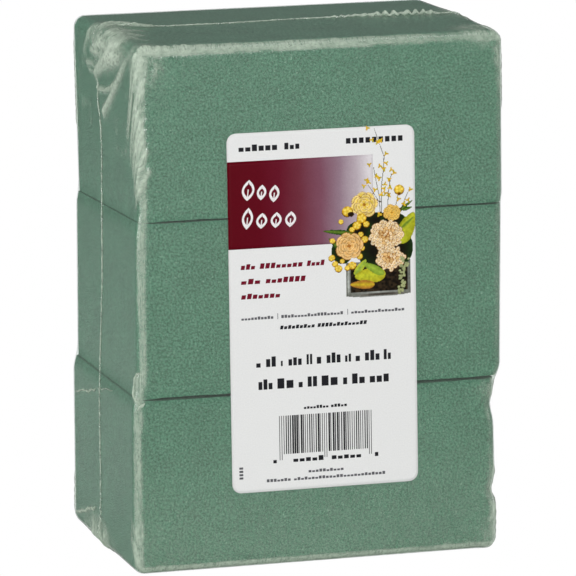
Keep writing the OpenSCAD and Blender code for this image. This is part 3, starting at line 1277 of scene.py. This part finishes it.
class Picture:
    """A small painting on a fine grid. Later shapes cover earlier ones."""

    def __init__(self, low, high, cell):
        self.us = np.arange(low[0], high[0] + cell, cell)
        self.vs = np.arange(low[1], high[1] + cell, cell)
        self.u, self.v = np.meshgrid(self.us, self.vs, indexing="ij")
        self.colour = np.zeros(self.u.shape + (3,))
        self.painted = np.zeros(self.u.shape, bool)
        self.random = np.random.default_rng(5)
        flat = np.column_stack([self.u.ravel(), self.v.ravel(), 0 * self.u.ravel()])
        self.grain = noise3(flat, 0.5, 111).reshape(self.u.shape)

    def lay(self, mask, inner, outer, t):
        shade = np.array(inner) + (np.array(outer) - np.array(inner)) * np.clip(t, 0, 1)[..., None]
        shade = shade * (1 + 0.1 * self.grain)[..., None]
        self.colour = np.where(mask[..., None], shade, self.colour)
        self.painted |= mask

    def oval(self, u, v, ru, rv, inner, outer, turn=0.0):
        c, s = math.cos(turn), math.sin(turn)
        a = ((self.u - u) * c + (self.v - v) * s) / ru
        b = ((self.v - v) * c - (self.u - u) * s) / rv
        away = np.hypot(a, b)
        self.lay(away < 1, inner, outer, away ** 1.5)

    def leaf(self, u0, v0, u1, v1, wide, inner, outer):
        """Pointed leaf from one end to the other, with a paler middle."""
        du, dv = u1 - u0, v1 - v0
        long = math.hypot(du, dv)
        t = ((self.u - u0) * du + (self.v - v0) * dv) / long ** 2
        off = ((self.v - v0) * du - (self.u - u0) * dv) / long
        half = wide * np.sqrt(np.clip(4 * t * (1 - t), 0, 1)) * (1.15 - 0.5 * t) + 1e-9
        self.lay((t > 0) & (t < 1) & (np.abs(off) < half), inner, outer, np.abs(off) / half)

    def stem(self, route, wide, colour):
        for (u0, v0), (u1, v1) in zip(route[:-1], route[1:]):
            du, dv = u1 - u0, v1 - v0
            t = np.clip(((self.u - u0) * du + (self.v - v0) * dv) / (du * du + dv * dv), 0, 1)
            away = np.hypot(self.u - u0 - t * du, self.v - v0 - t * dv)
            self.lay(away < wide, colour, colour, away)

    def rose(self, u, v, r, inner, middle, outer):
        """Rings of petals, each petal darker where it dips under the next ring."""
        self.oval(u, v, r, r * 0.95, middle, outer)
        for ring, (share, petals) in enumerate(((0.78, 7), (0.6, 6), (0.42, 5), (0.25, 4))):
            for k in range(petals):
                a = 2 * math.pi * (k + 0.37 * ring) / petals + self.random.uniform(-0.15, 0.15)
                size = r * (0.46 - 0.07 * ring)
                pu, pv = u + share * r * math.cos(a), v + share * r * 0.92 * math.sin(a)
                self.oval(pu, pv, size * 1.08, size * 0.92, inner, AMBER, a + math.pi / 2)
                self.oval(pu, pv, size, size * 0.8, middle, outer, a + math.pi / 2)
        self.oval(u, v, 0.16 * r, 0.14 * r, AMBER, inner)

    def frilled(self, u, v, ru, rv, count):
        """A carnation: many small ruffled petals, darker in the middle."""
        self.oval(u, v, ru * 0.95, rv * 0.95, AMBER, PEACH)
        for k in range(count):
            share = math.sqrt(1 - (k + 0.5) / count)
            a = 2.4 * k
            size = self.random.uniform(0.5, 0.85) * (0.55 + 0.5 * share)
            pu, pv = u + share * ru * math.cos(a), v + share * rv * math.sin(a)
            turn = self.random.uniform(0, 3.1)
            edge = CREAM if share > 0.55 or k % 3 == 0 else PEACH
            self.oval(pu, pv, size * 1.1, size * 0.85, AMBER, AMBER, turn)
            self.oval(pu, pv, size, size * 0.66, PEACH, edge, turn)

    def button(self, u, v, r):
        """A small round yellow bloom."""
        self.oval(u, v - 0.12 * r, r, r * 0.95, GOLD, BROWN)
        self.oval(u, v, r * 0.92, r * 0.85, YELLOW, GOLD)
        for k in range(5):
            a = 1.3 * k + u
            self.oval(u + 0.5 * r * math.cos(a), v + 0.45 * r * math.sin(a), 0.34 * r, 0.26 * r,
                      (240, 214, 110), YELLOW, a)

    def build(self, name, material):
        full = self.painted[:-1, :-1] & self.painted[1:, :-1]
        full &= self.painted[:-1, 1:] & self.painted[1:, 1:]
        index = np.arange(self.u.size).reshape(self.u.shape)
        quads = np.stack([index[:-1, :-1], index[1:, :-1], index[1:, 1:], index[:-1, 1:]], -1)[full]
        outer = on_label(self.u.ravel(), self.v.ravel(), 0.024)
        shade = np.clip(self.colour, 0, 255).reshape(-1, 3) / 255
        shade = np.column_stack([shade ** 2.2, np.ones(len(shade))])
        out, faces, shade = used_only(outer, quads, shade)
        points, closed = thicken(out, faces, out + [0, 0.034, 0])
        make_piece(name, points, closed, material, "label", {"ink": np.tile(shade, (2, 1))})


def build_flowers(material):
    """A generic arrangement in a glass vase, painted shape by shape in (u, v)."""
    art = Picture((24.6, 48.2), (49.3, 92.8), 0.14)
    # vase: dark filling seen through glass
    art.lay((art.u > 30.8) & (art.u < 48.1) & (art.v < 57.9)
            & (art.v > 48.7 + 0.5 * ((art.u - 39.4) / 8.7) ** 4), (150, 152, 146), (104, 106, 98),
            np.abs(art.u - 39.4) / 8.7)
    art.lay((art.u > 32.1) & (art.u < 47.2) & (art.v < 57) & (art.v > 50.1), BLACK, (52, 42, 30),
            0.5 + 0.8 * art.grain)
    art.oval(40.5, 49.3, 6.2, 0.4, (58, 52, 46), (120, 118, 110))
    art.oval(31.5, 53, 0.35, 3.6, (190, 194, 188), (140, 142, 134))
    # dark foliage behind the blooms
    for u, v, ru, rv in ((38.4, 60.5, 4.5, 4.5), (39, 68.6, 4, 2), (34.6, 66, 3.6, 2.6),
                         (45.4, 61, 3.4, 4.6), (30, 61, 3, 3.4), (43.5, 68.4, 3.4, 1.8)):
        art.oval(u, v, ru, rv, BLACK, PINE)
    art.leaf(33, 65.4, 24.9, 66.4, 0.8, LEAF, PINE)
    art.leaf(31, 60, 26.4, 64.5, 0.9, LEAF, PINE)
    art.leaf(43, 69, 48.9, 73.2, 0.6, LEAF, PINE)
    art.leaf(46, 70.6, 48.7, 71.4, 0.5, LEAF, PINE)
    # sprigs
    stems = [
        [(40.5, 69.5), (40.5, 76.9), (41.1, 81.5), (41.3, 84.7), (39.9, 88.7), (38.8, 91.9)],
        [(40.2, 70), (39.9, 73.1), (38.4, 75.5), (37, 77.6)],
        [(40.2, 73), (39.3, 77.6), (38.5, 82)],
        [(45.1, 69.6), (46.3, 72.6), (47.9, 76)],
        [(42, 70), (42.4, 76), (43.2, 80.2)],
        [(43.8, 70), (45, 75)],
    ]
    for route in stems:
        art.stem(route, 0.15, (62, 56, 30))
    dots = [(37, 92.2), (38.2, 89.1), (39.6, 88.4), (40.5, 88.9), (41.9, 85.4), (41.9, 83.0),
            (40.2, 82.3), (41.3, 81.5), (43.2, 81.2), (37.4, 82.8), (39.3, 79.8), (39.9, 79.1),
            (37.1, 78.3), (35.9, 77.4), (41.5, 77.6), (42.5, 78.8), (42.8, 76.6), (38.8, 76.3),
            (40.5, 75), (41.5, 75.2), (42.5, 74.7), (45, 73.6), (46.4, 72.3), (48.2, 75.9),
            (47.5, 73.2), (39.9, 69.9), (36.6, 78.9), (43.9, 80.4), (41.2, 76.5)]
    for n, (u, v) in enumerate(dots):
        for k in range(3):
            a = 2.1 * k + n
            art.oval(u + 0.33 * math.cos(a), v + 0.3 * math.sin(a), 0.48, 0.3,
                     YELLOW if (n + k) % 3 else LIME, GOLD, a)
    # round blooms and roses
    art.button(45.2, 76.1, 1.45)
    art.oval(45.2, 74.9, 0.6, 0.5, BROWN, GOLD)
    art.rose(35.9, 72.6, 3.1, GOLD, YELLOW, (236, 214, 150))
    art.button(31.4, 71.2, 1.55)
    art.oval(32.4, 70.3, 0.9, 0.7, BLACK, BROWN)
    art.rose(43.2, 70.2, 2.0, GOLD, (214, 160, 60), (232, 200, 110))
    for u, v, r in ((35.1, 69.2, 1.4), (33.9, 67.4, 1.2), (36.4, 67.6, 0.9), (29.7, 68.6, 0.8),
                    (32.6, 66.4, 0.8), (35.9, 63.7, 1.0), (34.9, 65, 0.8), (27.4, 63.8, 0.85),
                    (27.1, 59.4, 0.95), (28.0, 57.8, 0.9), (28.9, 56.6, 1.1), (29.9, 58.4, 0.7),
                    (32.5, 57.2, 1.2), (31.2, 56.6, 0.8), (35.2, 61.5, 0.8), (34.5, 59.4, 0.9)):
        art.button(u, v, r)
    art.leaf(45.2, 62.2, 49.1, 70, 2.4, LIME, (150, 152, 34))
    art.leaf(45.6, 66, 49, 68.8, 0.7, LEAF, LIME)
    art.frilled(41.6, 64.4, 4.2, 3.7, 70)
    art.frilled(42.6, 58.4, 3.6, 2.8, 48)
    art.rose(31.8, 62.2, 3.2, AMBER, (214, 158, 84), (236, 200, 140))
    art.leaf(33.2, 54.6, 36.2, 58.4, 1.0, (140, 170, 70), LIME)
    art.leaf(41.3, 54.5, 33.2, 54.2, 2.1, LIME, (168, 160, 40))
    art.leaf(41.0, 54.4, 35.4, 57.6, 1.1, (150, 176, 62), (120, 146, 50))
    art.leaf(38.4, 51.9, 31.9, 52.2, 1.2, (196, 170, 44), AMBER)
    # seeds that trail over the right side of the vase
    for k in range(60):
        t = art.random.uniform(0, 1)
        u = 46.6 - 1.3 * t + art.random.uniform(-1.2, 1.2) * (1 - 0.5 * t)
        art.oval(u, 58.6 - 9.4 * t, 0.36, 0.3, (176, 180, 136), SAGE)
    art.build("print_flowers", material)


# ------------------------------------------------------------------ build it all

FILM_GLINT = 0.028
film_front = film_material("shrink_film_clear", 0.0, FILM_GLINT)
film_back = film_material("shrink_film_clear_back", 0.0, FILM_GLINT)
seal_skin = film_material("melted_seam", 0.1, 0.08)
FOLDS = folds_seen() + folds_unseen()
foam = foam_material()
for number in range(len(BLOCKS)):
    build_block(number, foam)
build_film(film_front, film_back)
build_seal(seal_skin)
build_label(paper_material(), adhesive_material())
build_band(band_material(LABEL_LOW[0] + BAND[0], LABEL_LOW[0] + BAND[1]))
build_text(ink_material("ink_black", linear(34, 34, 38)),
           ink_material("ink_grey", linear(92, 92, 96)),
           ink_material("ink_burgundy", linear(112, 16, 38)),
           ink_material("ink_white", linear(238, 234, 234)))
build_barcode(ink_material("ink_bars", linear(34, 34, 38)))
build_flowers(painted_material())


# --------------------------------------------------------------- camera and light

def turned(azimuth, elevation):
    """Direction towards a viewer at this azimuth and elevation, in degrees."""
    a, e = math.radians(azimuth), math.radians(elevation)
    return Vector((math.sin(a) * math.cos(e), -math.cos(a) * math.cos(e), math.sin(e)))


# The camera looks at CENTRE from this direction and distance. It then turns by small
# shares to the right and down, and rolls.
CENTRE = Vector((0, 0, 70.5 * MM))
AZIMUTH, ELEVATION, ROLL = -15.325, 9.697, -0.893
DISTANCE = 1331.34 * MM
AIM_RIGHT, AIM_DOWN = 0.00083, 0.00272

scene = bpy.context.scene
scene.view_settings.view_transform = "Standard"

camera_data = bpy.data.cameras.new("camera")
camera_data.lens = 313.7
camera_data.sensor_width = 36
camera = bpy.data.objects.new("camera", camera_data)
scene.collection.objects.link(camera)
away = turned(AZIMUTH, ELEVATION)
camera.location = CENTRE + away * DISTANCE
ahead = -away
right = ahead.cross(Vector((0, 0, 1))).normalized()
up = right.cross(ahead)
ahead = (ahead + right * AIM_RIGHT - up * AIM_DOWN).normalized()
right = ahead.cross(up).normalized()
up = right.cross(ahead)
roll = math.radians(ROLL)
right, up = (right * math.cos(roll) + up * math.sin(roll),
             up * math.cos(roll) - right * math.sin(roll))
camera.rotation_euler = Matrix((right, up, -ahead)).transposed().to_euler()
scene.camera = camera


def softbox(name, azimuth, elevation, distance, width, height, radiance):
    """Rectangular light that faces the pack, out of the camera's sight. In metres."""
    data = bpy.data.lights.new(name, "AREA")
    data.shape = "RECTANGLE"
    data.size = width
    data.size_y = height
    data.energy = radiance * math.pi * width * height
    light = bpy.data.objects.new(name, data)
    direction = turned(azimuth, elevation)
    light.location = CENTRE + direction * distance
    light.rotation_euler = direction.to_track_quat("Z", "Y").to_euler()
    light.visible_camera = False
    scene.collection.objects.link(light)


softbox("key_front", -6, 12, 1.5, 0.75, 0.5, 11.2)
softbox("overhead", 20, 80, 0.9, 0.6, 0.3, 3.4)
softbox("side_left", -98, 4, 0.9, 0.45, 1.0, 5.0)
softbox("side_right", 80, 12, 1.1, 0.5, 0.9, 1.0)

# White to the camera, and a dim grey light to everything else
world = bpy.data.worlds.new("studio")
scene.world = world
world.use_nodes = True
sky = world.node_tree.nodes
sky.clear()
seen = sky.new("ShaderNodeLightPath").outputs["Is Camera Ray"]
tone = sky.new("ShaderNodeMix")
tone.data_type = "RGBA"
tone.inputs[6].default_value = (0.16, 0.165, 0.165, 1)
tone.inputs[7].default_value = (1, 1, 1, 1)
shine = sky.new("ShaderNodeBackground")
world_out = sky.new("ShaderNodeOutputWorld")
world.node_tree.links.new(seen, tone.inputs[0])
world.node_tree.links.new(tone.outputs[2], shine.inputs["Color"])
world.node_tree.links.new(shine.outputs[0], world_out.inputs["Surface"])

# The floor lights the pack from below but isn't seen.
floor_mesh = bpy.data.meshes.new("floor")
floor_mesh.from_pydata([(-2, -2, 0), (2, -2, 0), (2, 2, 0), (-2, 2, 0)], [], [(0, 1, 2, 3)])
floor = bpy.data.objects.new("floor", floor_mesh)
scene.collection.objects.link(floor)
floor.location.z = -0.3 * MM
floor_paint = Shader("white_floor")
soft_white = floor_paint.grey_ramp(floor_paint.noise(200, 2), [(0.3, 0.72), (0.7, 0.76)])
matt = floor_paint.add("ShaderNodeBsdfDiffuse", {"Color": soft_white})
floor_mesh.materials.append(floor_paint.finish(matt.outputs[0]))
floor.visible_camera = False
